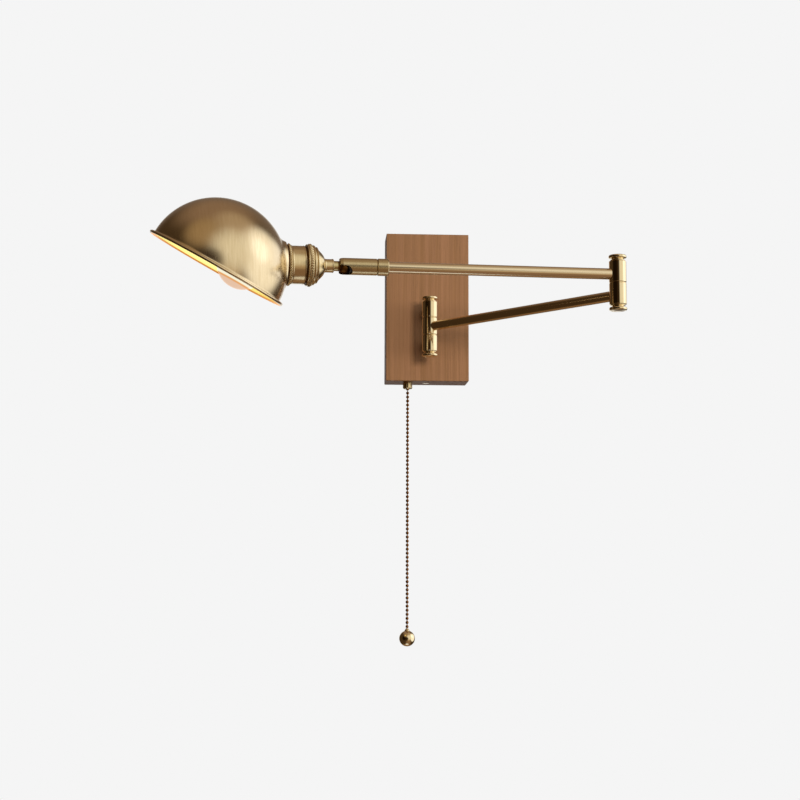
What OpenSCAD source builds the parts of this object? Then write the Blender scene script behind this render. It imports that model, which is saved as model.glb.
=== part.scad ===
// Swing-arm wall lamp: a wooden wall plate, two tube arms, a slotted ball swivel
// and a half-dome shade, drawn in the pose of the photograph.
// Origin: centre of the plate's back, on the wall. +X right, +Y into the wall, +Z up.

/* [Wall plate] */
// Width of the wooden plate
plate_w = 85; // [80:1:110]
// Height of the wooden plate
plate_h = 153; // [148:1:190]
// Thickness of the wooden plate
plate_d = 35; // [34:1:45]
// Thickness of the wood round the wiring space
plate_side = 10; // [9:0.5:12]
// Thickness of the wood in front of the wiring space
plate_front = 7; // [5:0.5:8]
// Rounding of the plate's front edges and corners
plate_edge_r = 0.75; // [0.5:0.25:3]

/* [Mounting strap] */
// Width of the steel strap
strap_w = 22; // [20:1:26]
// Thickness of the steel strap
strap_t = 1.6; // [1.2:0.1:2.5]
// Distance between the two wall screw slots
slot_pitch = 80; // [60:1:90]
// Width of a wall screw slot
slot_w = 4.5; // [4:0.1:5.5]
// Length of a wall screw slot
slot_len = 12; // [8:0.5:14]
// Hole in the strap for the supply cable
cable_hole_d = 14; // [10:0.5:16]

/* [Hinges] */
// Distance from the plate's front to the wall hinge's axis
hinge_reach = 28; // [24:1:40]
// How far the lower arm lies below the plate's centre
hinge_drop = 25; // [20:1:28]
// Outer diameter of the hinge barrels
barrel_d = 15.4; // [15:0.1:18]
// Bore of the hinge barrels
barrel_bore = 12; // [11:0.1:12.4]
// Bore of the hollow hinge pins
pin_bore = 8; // [7:0.1:9]
// Length of the wall hinge's two fixed barrels
wall_barrel_len = 16; // [14:0.5:20]
// Length of the wall hinge's middle barrel
middle_barrel_len = 17; // [15:0.5:20]
// Length of each elbow barrel
elbow_barrel_len = 19.2; // [18:0.2:24]
// How far the lower arm's tube lies below the middle of its elbow barrel
lower_tube_low = 1; // [0:0.1:2.5]
// How far the upper arm's tube lies below the middle of its elbow barrel
upper_tube_low = 2; // [0:0.1:2.5]
// Diameter of the finial caps
cap_d = 16; // [15.6:0.1:19]
// Thickness of a finial cap's disc
cap_disc = 3.4; // [3:0.1:5]
// Height of the neck under a finial cap's disc
cap_neck = 2.4; // [1.8:0.1:4]

/* [Arms] */
// Distance between the wall hinge's axis and the elbow's axis
lower_arm_len = 236; // [200:1:300]
// Distance from the elbow's axis to the swivel ball's centre
upper_arm_len = 244.4; // [210:0.2:300]
// Diameter of the lower arm's tube
lower_tube_d = 9.5; // [9:0.1:10.5]
// Diameter of the upper arm's tube
upper_tube_d = 10; // [9.4:0.1:10.5]
// Wall of both tubes
tube_wall = 1; // [0.8:0.1:1.2]
// Diameter of the flex in the arms
wire_d = 4.6; // [4:0.1:5]

/* [Swivel] */
// Outer diameter of the turning sleeve
sleeve_d = 14.7; // [14.4:0.1:16]
// Length of the sleeve behind the ball's centre
sleeve_back = 29.3; // [28:0.1:40]
// Length of the sleeve in front of the ball's centre
sleeve_front = 3.8; // [3.6:0.1:4.2]
// Outer diameter of the collar on the arm's end
collar_d = 15.1; // [14.8:0.1:16.4]
// Length of the collar on the arm's end
collar_len = 9.6; // [8:0.1:14]
// Diameter of the swivel ball
ball_d = 12; // [11.7:0.1:12]
// Diameter of the ball's neck
neck_d = 8.8; // [8.2:0.1:8.8]

/* [Lamp holder] */
// Diameter of the collar on the ball's stem
stem_collar_d = 12.4; // [11.5:0.1:14]
// Distance from the ball's centre to that collar
stem_collar_at = 9.3; // [8:0.1:11]
// Length of that collar
stem_collar_len = 7.9; // [6:0.1:12]
// Outer diameter of the lamp holder's shell
shell_d = 33; // [32:0.2:35]
// Length of the shell between its two knurled rings
shell_len = 14.9; // [14:0.1:20]
// Diameter of the knurled ring behind the shell
rear_ring_d = 37.2; // [36.6:0.2:40]
// Width of the knurled ring behind the shell
rear_ring_w = 4; // [3:0.1:6]
// Diameter of the knurled ring against the shade
front_ring_d = 36.8; // [36:0.2:38.6]
// Width of the knurled ring against the shade
front_ring_w = 4; // [3:0.1:6]

/* [Shade] */
// Radius of the shade's dome
dome_r = 60; // [58:0.2:66]
// How far the rolled rim stands out from the dome
rim_flare = 3.7; // [3.2:0.1:6]
// Thickness of the shade's brass
shade_wall = 1.2; // [1:0.1:1.4]
// Angle between the holder's axis and the shade's mouth
mouth_angle = 61.8; // [55:0.2:65]
// How far the dome's centre lies off the holder's axis
dome_offset = 5.1; // [2:0.1:6]

/* [Bulb] */
// Diameter of the golf-ball bulb
bulb_d = 45; // [42:0.5:46]
// Length of the bulb from contact to tip
bulb_len = 69.6; // [68:0.2:76]

/* [Pull switch] */
// Place of the pull cord's nut right of the plate's centre
pull_x = -19.5; // [-20.5:0.5:-18.5]
// Diameter of the nut under the plate
pull_nut_d = 9.7; // [9.4:0.1:12]
// Length of the nut under the plate
pull_nut_len = 7; // [6:0.5:12]
// Number of beads that hang free
bead_count = 59; // [30:1:70]
// Diameter of a bead
bead_d = 3.2; // [2.4:0.1:3.2]
// Distance from bead to bead
bead_pitch = 4.1; // [4:0.05:4.4]
// Diameter of the ball at the chain's end
pull_ball_d = 16; // [12:0.5:18]

/* [Pose] */
// Angle of the lower arm from the wall
lower_swing = 49.6; // [45:0.1:60]
// Angle of the upper arm from the wall
upper_swing = 3.8; // [2:0.1:10]
// How far the swivel's slot is turned down from facing the front
slot_turn = 48; // [0:1:60]
// Tilt of the holder towards the slot
head_tilt = 5.8; // [0:0.1:10]
// Lean of the holder across the slot, within the neck's play
head_lean = 4.2; // [0:0.1:4.2]
// Turn of the shade about the holder's axis
head_roll = 34.8; // [0:0.2:50]

/* [Hidden] */
$fn = 96;

// Clearances and overruns that several pieces share
over = 1;
fit_gap = 0.05;
run_gap = 0.25;
seat_gap = 0.3;

// Colours of the photograph's finishes
brass = "#b79a66";
bright_brass = "#d8bd84";
wood = "#93694c";
steel = "#9a9ca0";
black_plastic = "#1d1c1e";
porcelain = "#e4e0d6";
flex_colour = "#2b2422";
warm_glass = "#f6d9b4";

// Wiring space in the back of the plate
space_w = plate_w - 2 * plate_side;
space_h = plate_h - 2 * plate_side;
space_y = -(plate_d - plate_front);
space_corner_r = 2.8;

// Strap ears and the screws that lock the plate on them
ear_w = 16;
ear_len = 18;
strap_len = space_h - 2 * seat_gap;
lock_y = -12;
lock_d = 4;
lock_head_d = 7.2;
lock_head_t = 2.4;
lock_reach = 5;
lock_slot_w = 1;

// Terminal block on the front wall's inner face
block_w = 34;
block_h = 14;
block_d = 18;
block_z = 29;
block_step = 10;
block_ridge = 3;
block_screw_d = 4;
block_screw_len = 5;
block_screw_slot = 0.8;

// Wall hinge
hinge_y = -(plate_d + hinge_reach);
washer_t = 0.5;
joint_gap = washer_t + run_gap;
wall_barrel_step = middle_barrel_len / 2 + joint_gap + wall_barrel_len / 2;
wall_pin_len = middle_barrel_len + 2 * joint_gap + 2 * wall_barrel_len;
pin_d = barrel_bore - 2 * fit_gap;
washer_inset = 0.3;
washer_d = barrel_d - 2 * washer_inset;
stem_d = 9.8;
stem_bore = 6;
stem_shoulder_d = 13;
stem_shoulder_t = 3;
stem_thread_len = 9;
nut_across = 14;
nut_t = 5;
barrel_chamfer = 0.4;
flex_window = 6;
tube_start = barrel_bore / 2 + seat_gap;

// Flex behind the plate's front wall
feed_bend = 5;
feed_y = hinge_y + hinge_reach + plate_front + stem_thread_len + feed_bend;
feed_z = -hinge_drop + wall_barrel_step;
lead_d = 2.6;
lead_step = 4.2;
lead_x = -9.7;

// Finial caps
cap_neck_d = 10.4;
cap_foot_d = 13.4;
cap_foot_t = 0.7;
cap_spigot_len = 5;
cap_rim = 1.1;
cap_crown = 0.7;

// Elbow
barrel_step = elbow_barrel_len + joint_gap;
arm_step = barrel_step + lower_tube_low - upper_tube_low;
elbow_pin_len = 2 * elbow_barrel_len + joint_gap;
elbow = [
    lower_arm_len * cos(lower_swing),
    hinge_y - lower_arm_len * sin(lower_swing),
    -hinge_drop + arm_step
];
elbow_window_turn = -39;
tube_socket = 1.2;
window_half = 130;

// Collar on the arm's end and the sleeve that turns on it
collar_front = -(sleeve_back + seat_gap);
collar_back = collar_front - collar_len;
sleeve_bore = ball_d + 2 * fit_gap;
spigot_d = sleeve_bore - 2 * fit_gap;
spigot_len = 12;
spigot_bore = 6;
groove_from_collar = 5.5;
groove_at = collar_front + groove_from_collar;
groove_w = 3;
groove_deep = 1.8;
lug_half = 8;
stop_screw_d = 2.4;
stop_screw_len = 2.5;
sleeve_nose = 3.4;
sleeve_nose_deep = 1.1;
collar_chamfer = 0.5;

// Slot, ball, seat and springs
mouth_play = 0.5;
slot_play = 0.6;
mouth_d = neck_d + 2 * mouth_play;
slot_width = neck_d + 2 * slot_play;
slot_back = 7.6;
seat_back = -15;
seat_front = -3;
seat_d = sleeve_bore - 4 * fit_gap;
spring_count = 4;
spring_t = 0.6;
spring_rise = 0.3;
spring_d = seat_d - 2 * seat_gap;
spring_step = (seat_back - collar_front - spigot_len) / spring_count;
stem_shoulder = 0.9;
stem_thread_d = neck_d - 2 * stem_shoulder;
stem_hole = 4.6;
stem_nut_across = 9.6;
stem_nut_t = 4;

// Lamp holder along its axis, from the ball's centre
cap_back = stem_collar_at + stem_collar_len;
cap_len = 11.2;
cap_r_shares = [0.205, 0.282, 0.352, 0.42, 0.488, 0.518, 0.518];
cap_z_shares = [0, 0.15, 0.33, 0.52, 0.7, 0.78, 1];
cap_dome_steps = 4;
ring_back = cap_back + cap_len;
shell_back = ring_back + rear_ring_w;
shell_front = shell_back + shell_len;
mouth_plane = shell_front + front_ring_w;
holder_wall = 1.2;
flange_step = 1.2;
flange_d = shell_d + 2 * flange_step;
flange_w = 3;
flange_slope = 1.6;
ring_bead = 0.7;
insulator_d = 28.6;
insulator_wall = 0.6;
insulator_back = ring_back + seat_gap;
insulator_floor = 8;
insulator_flange_d = shell_d - 2 * holder_wall - 2 * fit_gap;
insulator_flange_w = rear_ring_w - 2 * seat_gap;
inner_ring_w = 4.6;
inner_ring_step = 1;
inner_ring_d = front_ring_d - 2 * inner_ring_step;
holder_front = mouth_plane + shade_wall + inner_ring_w + seat_gap;
screw_shell_wall = 0.4;
screw_shell_d = insulator_d - 2 * insulator_wall - 2 * fit_gap;
contact_w = 7;
contact_t = 0.6;
contact_rise = 3.2;
holder_screw_d = 3.4;
holder_screw_len = 5;
holder_screw_at = 8;
lamp_lead_d = 1.7;
lead_apart = 2.2;

// Shade
dome_sink = 1.5;
dome_centre_at = mouth_plane + dome_r - dome_sink;
neck_over = 0.5;
neck_r = front_ring_d / 2 + neck_over;
neck_fillet = 5;
neck_share = 0.6;
rim_bead_r = 1.1;
rim_flange_in = dome_r - shade_wall;
rim_bead_at = dome_r + rim_flare - rim_bead_r;
rim_flange_t = 1.2;

// Bulb along the holder's axis
bulb_cap_d = 26;
bulb_cap_wall = 0.4;
bulb_back = insulator_back + insulator_floor + contact_rise + seat_gap;
bulb_cap_len = 21;
bulb_contact_len = 3.6;
bulb_contact_d = 9;
bulb_neck_d = 24;
bulb_glass_wall = 0.8;
bulb_tip = bulb_back + bulb_len;
bulb_centre = bulb_tip - bulb_d / 2;
bulb_sweep_r = 8;
bulb_glass_back = bulb_back + bulb_cap_len - bulb_contact_len;
filament_d = 1.4;
filament_len = 30;
filament_lean = 8;
filament_stem_d = 7;

// Pull switch and chain
pull_y = -21;
switch_w = 20;
switch_d = 13.4;
switch_h = 24;
switch_edge = 1.5;
nipple_d = 8;
nipple_bore = 4.6;
nut_lip = 1;
plunger_d = 4;
plunger_len = 14;
chain_wire_d = 1.1;
bell_d = 5.2;
bell_len = 6.4;
pull_pivot_z = -plate_h / 2 - pull_nut_len;
link_end = bead_d / 2 + seat_gap;
last_bead = bead_count * bead_pitch;

function arc(cx, cy, r, from, to, steps) =
    [for (i = [0:steps]) let (a = from + (to - from) * i / steps) [cx + r * cos(a), cy + r * sin(a)]];

// Places of the moving assemblies in the pose of the photograph
module at_wall_hinge() translate([0, hinge_y, -hinge_drop]) children();
module in_lower_arm() at_wall_hinge() rotate([0, 0, -lower_swing]) children();
module in_upper_arm() translate(elbow) rotate([0, 0, upper_swing - 180]) children();
module in_sleeve() in_upper_arm() translate([upper_arm_len, 0, 0]) rotate([-slot_turn, 0, 0])
    rotate([0, 90, 0]) children();
module in_ball() in_upper_arm() translate([upper_arm_len, 0, 0]) rotate([-slot_turn, 0, 0])
    rotate([0, 0, head_tilt]) rotate([0, -head_lean, 0]) rotate([0, 90, 0]) children();
module in_head() in_ball() rotate([0, 0, head_roll]) children();
module in_mouth() in_head() translate([dome_offset, 0, dome_centre_at]) rotate([0, mouth_angle, 0])
    children();
module at_chain() translate([pull_x, pull_y, pull_pivot_z]) children();

// Basic turned and cut shapes
module turned(points) rotate_extrude() polygon(points);

module ring(d, hole, from, to, edge = 0) difference() {
    turned([
        [0, from], [d / 2 - edge, from], [d / 2, from + edge],
        [d / 2, to - edge], [d / 2 - edge, to], [0, to]
    ]);
    translate([0, 0, from - over]) cylinder(d = hole, h = to - from + 2 * over);
}

module hexagon(across, from, to) translate([0, 0, from])
    cylinder(d = across / cos(30), h = to - from, $fn = 6);

module sector(r, half, from, to) translate([0, 0, from]) rotate([0, 0, -half])
    rotate_extrude(angle = 2 * half) square([r, to - from]);

module slotted_head(d, t, slot) difference() {
    cylinder(d = d, h = t);
    translate([-d / 2 - over, -slot / 2, t / 2]) cube([d + 2 * over, slot, t]);
}

module round_rect(w, h, r) {
    square([w - 2 * r, h], center = true);
    square([w, h - 2 * r], center = true);
    for (x = [-1, 1], y = [-1, 1]) translate([x * (w / 2 - r), y * (h / 2 - r)]) circle(r = r);
}

// A side profile of the plate: square at the wall, rounded at the front
module front_rounded(depth, length, r) {
    translate([-depth + r, -length / 2]) square([depth - r, length]);
    translate([-depth, -length / 2 + r]) square([depth, length - 2 * r]);
    for (s = [-1, 1]) translate([-depth + r, s * (length / 2 - r)]) circle(r = r);
}

// Wall plate, strap and wiring

module wood_backplate() color(wood) difference() {
    intersection() {
        rotate([90, 0, 0]) linear_extrude(height = plate_d)
            round_rect(plate_w, plate_h, plate_edge_r);
        translate([0, 0, -plate_h / 2]) linear_extrude(height = plate_h)
            rotate([0, 0, 90]) front_rounded(plate_d, plate_w, plate_edge_r);
        translate([-plate_w / 2, 0, 0]) rotate([90, 0, 90]) linear_extrude(height = plate_w)
            front_rounded(plate_d, plate_h, plate_edge_r);
    }
    translate([0, over, 0]) rotate([90, 0, 0]) linear_extrude(height = over - space_y)
        round_rect(space_w, space_h, space_corner_r);
    for (s = [-1, 1]) translate([0, over - plate_d + plate_front, -hinge_drop + s * wall_barrel_step])
        rotate([90, 0, 0]) cylinder(d = stem_d + 2 * seat_gap, h = plate_front + 2 * over);
    for (s = [-1, 1]) mirror([0, 0, s < 0 ? 1 : 0]) {
        translate([0, lock_y, space_h / 2 - over])
            cylinder(d = lock_d + 2 * seat_gap, h = plate_side + 2 * over);
        translate([0, lock_y, plate_h / 2 - lock_head_t])
            cylinder(d = lock_head_d + 2 * seat_gap, h = lock_head_t + over);
    }
    translate([pull_x, pull_y, -plate_h / 2 - over])
        cylinder(d = nipple_d + 2 * seat_gap, h = plate_side + 2 * over);
}

module mounting_strap() color(steel) difference() {
    union() {
        translate([-strap_w / 2, -strap_t, -strap_len / 2]) cube([strap_w, strap_t, strap_len]);
        for (z = [-strap_len / 2, strap_len / 2 - strap_t])
            translate([-ear_w / 2, -ear_len, z]) cube([ear_w, ear_len, strap_t]);
    }
    for (z = [-slot_pitch / 2, slot_pitch / 2]) translate([0, over, z]) rotate([90, 0, 0])
        linear_extrude(height = strap_t + 2 * over) wall_slot();
    translate([0, over, 0]) rotate([90, 0, 0]) cylinder(d = cable_hole_d, h = strap_t + 2 * over);
    translate([0, lock_y, -strap_len / 2 - over])
        cylinder(d = lock_d + 2 * fit_gap, h = strap_len + 2 * over);
}

module wall_slot() {
    square([slot_w, slot_len - slot_w], center = true);
    for (s = [-1, 1]) translate([0, s * (slot_len - slot_w) / 2]) circle(d = slot_w);
}

module base_lock_screws() color(brass) for (s = [0, 1]) mirror([0, 0, s])
    translate([0, lock_y, plate_h / 2 - lock_head_t + seat_gap / 2]) {
        slotted_head(lock_head_d, lock_head_t - seat_gap, lock_slot_w);
        translate([0, 0, -plate_side - lock_reach + lock_head_t])
            cylinder(d = lock_d, h = plate_side + lock_reach - lock_head_t);
    }

module terminal_block() color(porcelain) difference() {
    translate([-block_w / 2, space_y, block_z - block_h / 2]) union() {
        cube([block_w, block_d - block_ridge, block_h]);
        translate([0, 0, block_h / 4]) cube([block_w, block_d, block_h / 2]);
    }
    for (x = [-block_step, 0, block_step])
        translate([x, space_y + block_d - block_screw_len - seat_gap, block_z]) rotate([-90, 0, 0])
            cylinder(d = block_screw_d + 2 * fit_gap, h = block_screw_len + over);
}

module terminal_screws() color(steel) for (x = [-block_step, 0, block_step])
    translate([x, space_y + block_d - block_screw_len, block_z]) rotate([-90, 0, 0])
        slotted_head(block_screw_d, block_screw_len - block_ridge / 2, block_screw_slot);

// Flex from the top stem up to the block, and two leads down to the switch
module base_wiring() color(flex_colour) {
    translate([0, feed_y - feed_bend, feed_z]) rotate([90, 0, 0])
        cylinder(d = wire_d, h = stem_thread_len + plate_front);
    translate([0, feed_y - feed_bend, feed_z + feed_bend]) rotate([0, 90, 0])
        rotate_extrude(angle = 90) translate([feed_bend, 0]) circle(d = wire_d);
    translate([0, feed_y, feed_z + feed_bend])
        cylinder(d = wire_d, h = block_z - block_h / 2 - feed_z - feed_bend);
    for (s = [-1, 1]) translate([lead_x + s * lead_step / 2, pull_y, -plate_h / 2 + plate_side + switch_h])
        cylinder(d = lead_d, h = block_z - block_h / 2 + plate_h / 2 - plate_side - switch_h);
}

// Pull switch

module pull_switch_body() color(black_plastic) difference() {
    translate([pull_x, pull_y, -plate_h / 2 + plate_side])
        linear_extrude(height = switch_h) round_rect(switch_w, switch_d, switch_edge);
    translate([pull_x, pull_y, -plate_h / 2 + plate_side - over])
        cylinder(d = nipple_d + 2 * fit_gap, h = plate_side / 2 + over);
    translate([pull_x, pull_y, -plate_h / 2 + plate_side - over])
        cylinder(d = plunger_d + 2 * seat_gap, h = plunger_len + over);
}

module switch_nipple() color(brass) translate([pull_x, pull_y, 0])
    ring(nipple_d, nipple_bore, pull_pivot_z + nut_lip, -plate_h / 2 + 1.5 * plate_side - seat_gap);

module switch_nut() color(bright_brass) translate([pull_x, pull_y, pull_pivot_z]) difference() {
    turned([
        [0, 0], [pull_nut_d / 2 - nut_lip, 0], [pull_nut_d / 2, nut_lip],
        [pull_nut_d / 2, pull_nut_len - nut_lip / 2],
        [pull_nut_d / 2 - nut_lip / 2, pull_nut_len], [0, pull_nut_len]
    ]);
    translate([0, 0, nut_lip]) cylinder(d = nipple_d + 2 * fit_gap, h = pull_nut_len);
    translate([0, 0, -over]) cylinder(d = nipple_bore, h = nut_lip + 2 * over);
}

module switch_plunger() color(brass) at_chain() {
    translate([0, 0, link_end]) cylinder(d = chain_wire_d, h = pull_nut_len + plate_side - link_end);
    for (i = [1:3]) translate([0, 0, i * bead_pitch]) sphere(d = bead_d);
    translate([0, 0, pull_nut_len + plate_side]) cylinder(d = plunger_d, h = plunger_len / 2);
}

module chain_top_bead() color(bright_brass) at_chain() sphere(d = bead_d);

module pull_chain() color(bright_brass) at_chain() rotate_extrude() intersection() {
    union() {
        for (i = [1:bead_count]) translate([0, -i * bead_pitch]) circle(d = bead_d, $fn = 48);
        translate([0, -last_bead]) square([chain_wire_d / 2, last_bead - link_end]);
    }
    translate([0, -last_bead - bead_d]) square([bead_d, last_bead + bead_d]);
}

module chain_bell() color(bright_brass) at_chain() translate([0, 0, -last_bead - bead_d / 2 - fit_gap])
    turned([
        [0, 0], [chain_wire_d, 0], [bell_d / 2, -bell_len / 3],
        [bell_d / 2, -bell_len], [0, -bell_len]
    ]);

module chain_ball() color(bright_brass) at_chain()
    translate([0, 0, -last_bead - bead_d / 2 - fit_gap - bell_len / 3 - pull_ball_d / 2]) difference() {
        sphere(d = pull_ball_d);
        translate([0, 0, -pull_ball_d / 2 + bell_len / 2])
            cylinder(d = bell_d + 2 * seat_gap, h = pull_ball_d);
    }

// Wall hinge

module fixed_knuckle(s, flex_hole) at_wall_hinge() difference() {
    union() {
        translate([0, 0, s * wall_barrel_step])
            ring(barrel_d, pin_d, -wall_barrel_len / 2, wall_barrel_len / 2, barrel_chamfer);
        translate([0, 0, s * wall_barrel_step]) rotate([-90, 0, 0]) {
            cylinder(d = stem_d, h = hinge_reach + plate_front + stem_thread_len);
            translate([0, 0, hinge_reach - stem_shoulder_t])
                cylinder(d = stem_shoulder_d, h = stem_shoulder_t);
        }
    }
    translate([0, 0, -wall_pin_len]) cylinder(d = barrel_bore, h = 2 * wall_pin_len);
    translate([0, 0, s * wall_barrel_step]) rotate([-90, 0, 0])
        cylinder(d = flex_hole, h = hinge_reach + plate_front + stem_thread_len + over);
}

module wall_knuckle_top() color(bright_brass) fixed_knuckle(1, stem_bore);

module wall_knuckle_bottom() color(bright_brass) fixed_knuckle(-1, stem_bore);

module knuckle_nuts() color(steel) for (s = [-1, 1])
    translate([0, space_y, -hinge_drop + s * wall_barrel_step]) rotate([-90, 0, 0]) difference() {
        hexagon(nut_across, 0, nut_t);
        translate([0, 0, -over]) cylinder(d = stem_d + 2 * fit_gap, h = nut_t + 2 * over);
    }

// A hollow hinge pin with round windows at fixed heights and a wide one for the turning arm
module hinge_pin(len, windows, wide_at, wide_turn) difference() {
    ring(pin_d, pin_bore, -len / 2, len / 2);
    for (w = windows) translate([0, 0, w[0]]) rotate([0, 0, w[1]]) rotate([0, 90, 0])
        cylinder(d = flex_window, h = pin_d);
    rotate([0, 0, wide_turn])
        sector(pin_d, window_half, wide_at - flex_window / 2, wide_at + flex_window / 2);
}

module wall_hinge_pin() color(brass) at_wall_hinge()
    hinge_pin(wall_pin_len, [[wall_barrel_step, 90]], 0, -90);

// Disc on a neck, a foot that holds the barrels on the pin and a spigot that screws into it
module finial_cap() turned([
    [0, -cap_spigot_len], [pin_bore / 2 - fit_gap, -cap_spigot_len], [pin_bore / 2 - fit_gap, 0],
    [cap_foot_d / 2, 0], [cap_foot_d / 2, cap_foot_t],
    [cap_neck_d / 2, cap_foot_t], [cap_neck_d / 2, cap_neck - cap_rim / 2],
    [cap_d / 2 - cap_rim / 2, cap_neck], [cap_d / 2, cap_neck + cap_rim / 2],
    [cap_d / 2, cap_neck + cap_disc - cap_rim],
    [cap_d / 2 - cap_rim / 2, cap_neck + cap_disc - cap_rim / 3],
    [cap_d / 4, cap_neck + cap_disc - cap_rim / 3 + cap_crown / 2],
    [0, cap_neck + cap_disc - cap_rim / 3 + cap_crown / 2]
]);

module wall_hinge_cap_top() color(bright_brass) at_wall_hinge()
    translate([0, 0, wall_pin_len / 2]) finial_cap();

module wall_hinge_cap_bottom() color(bright_brass) at_wall_hinge()
    mirror([0, 0, 1]) translate([0, 0, wall_pin_len / 2]) finial_cap();

module wall_hinge_washers() color(black_plastic) at_wall_hinge() for (s = [0, 1]) mirror([0, 0, s])
    ring(washer_d, barrel_bore, wall_pin_len / 2 - wall_barrel_len - washer_t,
        wall_pin_len / 2 - wall_barrel_len);

// Lower arm

// Barrel of an arm, with the hole that its tube is brazed into
module arm_barrel(len, tube_d, turn, tube_z) difference() {
    ring(barrel_d, barrel_bore, -len / 2, len / 2, barrel_chamfer);
    translate([0, 0, tube_z]) rotate([0, 0, turn]) rotate([0, 90, 0])
        cylinder(d = tube_d + 2 * fit_gap, h = barrel_d);
}

// Tube between two distances along +X, its ends hollowed to clear the hinge pins
module arm_tube(d, from, to) rotate([0, 90, 0]) ring(d, d - 2 * tube_wall, from, to);

module wall_knuckle_middle() color(bright_brass) in_lower_arm()
    arm_barrel(middle_barrel_len, lower_tube_d, 0, 0);

module lower_arm_tube() color(brass) in_lower_arm()
    arm_tube(lower_tube_d, tube_start, lower_arm_len - tube_start);

module flex_in_tube(tube_d, from, to) translate([0, 0, -(tube_d - wire_d) / 2 + tube_wall + seat_gap])
    rotate([0, 90, 0]) translate([0, 0, from]) cylinder(d = wire_d, h = to - from);

module lower_arm_flex() color(flex_colour) in_lower_arm()
    flex_in_tube(lower_tube_d, tube_start, lower_arm_len - tube_start);

module elbow_barrel_lower() color(bright_brass) in_elbow() translate([0, 0, -barrel_step / 2])
    arm_barrel(elbow_barrel_len, lower_tube_d, 180, -lower_tube_low);

module in_elbow() in_lower_arm() translate([lower_arm_len, 0, lower_tube_low + barrel_step / 2]) children();

module elbow_pin() color(brass) in_elbow()
    hinge_pin(elbow_pin_len, [[-barrel_step / 2 - lower_tube_low, 180]],
        barrel_step / 2 - upper_tube_low, elbow_window_turn);

module elbow_cap_top() color(bright_brass) in_elbow()
    translate([0, 0, elbow_pin_len / 2 + run_gap]) finial_cap();

module elbow_cap_bottom() color(bright_brass) in_elbow()
    mirror([0, 0, 1]) translate([0, 0, elbow_pin_len / 2]) finial_cap();

module elbow_washer() color(black_plastic) in_elbow()
    ring(washer_d, barrel_bore, -elbow_pin_len / 2 + elbow_barrel_len,
        -elbow_pin_len / 2 + elbow_barrel_len + washer_t);

// Upper arm

module elbow_barrel_upper() color(bright_brass) in_upper_arm() translate([0, 0, upper_tube_low])
    arm_barrel(elbow_barrel_len, upper_tube_d, 0, -upper_tube_low);

module upper_arm_tube() color(brass) in_upper_arm()
    arm_tube(upper_tube_d, tube_start, upper_arm_len + collar_front - tube_socket);

module upper_arm_flex() color(flex_colour) in_upper_arm()
    flex_in_tube(upper_tube_d, tube_start, upper_arm_len + collar_front - tube_socket);

module arm_end_collar() color(brass) in_sleeve() difference() {
    union() {
        ring(collar_d, spigot_bore, collar_back, collar_front, collar_chamfer);
        ring(spigot_d, spigot_bore, collar_front - over, collar_front + spigot_len);
    }
    translate([0, 0, collar_back - over])
        cylinder(d = upper_tube_d + 2 * fit_gap, h = collar_len + over - tube_socket + fit_gap);
    rotate([0, 0, 90]) difference() {
        ring(collar_d, spigot_d - 2 * groove_deep, groove_at - groove_w / 2, groove_at + groove_w / 2);
        sector(collar_d, lug_half, groove_at - groove_w, groove_at + groove_w);
    }
}

// Slotted ball swivel

// The stem's way out of the sleeve: the mouth, and the slot that opens on the +Y side
module slot_space(back) {
    cylinder(d = mouth_d, h = sleeve_front + over);
    translate([-slot_width / 2, 0, -back + slot_width / 2]) cube([slot_width, sleeve_d, sleeve_d]);
    translate([0, 0, -back + slot_width / 2]) rotate([-90, 0, 0]) cylinder(d = slot_width, h = sleeve_d);
}

module swivel_sleeve() color(brass) in_sleeve() difference() {
    turned([
        [0, -sleeve_back], [sleeve_d / 2 - collar_chamfer, -sleeve_back],
        [sleeve_d / 2, -sleeve_back + collar_chamfer], [sleeve_d / 2, sleeve_front - sleeve_nose],
        [sleeve_d / 2 - sleeve_nose_deep / 3, sleeve_front - sleeve_nose / 3],
        [sleeve_d / 2 - sleeve_nose_deep, sleeve_front], [0, sleeve_front]
    ]);
    translate([0, 0, -sleeve_back - over]) cylinder(d = sleeve_bore, h = sleeve_back + over);
    sphere(d = sleeve_bore);
    slot_space(slot_back);
    translate([0, 0, groove_at]) rotate([90, 0, 0])
        cylinder(d = stop_screw_d + 2 * fit_gap, h = sleeve_d);
}

module swivel_seat() color(black_plastic) in_sleeve() difference() {
    ring(seat_d, spigot_bore, seat_back, seat_front);
    sphere(d = sleeve_bore);
    slot_space(slot_width / 2 + seat_gap);
}

// Coned disc springs, stacked face to face in pairs between the spigot and the seat
module swivel_springs() color(steel) in_sleeve() for (i = [0:spring_count - 1]) {
    low = collar_front + spigot_len + i * spring_step + fit_gap;
    inner_rise = i % 2 == 0 ? spring_rise : 0;
    outer_rise = spring_rise - inner_rise;
    turned([
        [spigot_bore / 2, low + inner_rise], [spring_d / 2, low + outer_rise],
        [spring_d / 2, low + outer_rise + spring_t / 2], [spigot_bore / 2, low + inner_rise + spring_t / 2]
    ]);
}

module sleeve_stop_screw() color(steel) in_sleeve() translate([0, 0, groove_at]) rotate([90, 0, 0])
    translate([0, 0, sleeve_d / 2 - stop_screw_len - seat_gap])
        slotted_head(stop_screw_d, stop_screw_len, lock_slot_w / 2);

module swivel_ball_stud() color(brass) in_ball() difference() {
    union() {
        sphere(d = ball_d);
        cylinder(d = neck_d, h = stem_collar_at - fit_gap);
        cylinder(d = stem_thread_d, h = cap_back + holder_wall + stem_nut_t + 2 * seat_gap);
    }
    translate([0, 0, -ball_d]) cylinder(d = stem_hole, h = 2 * ball_d + cap_back);
}

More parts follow.
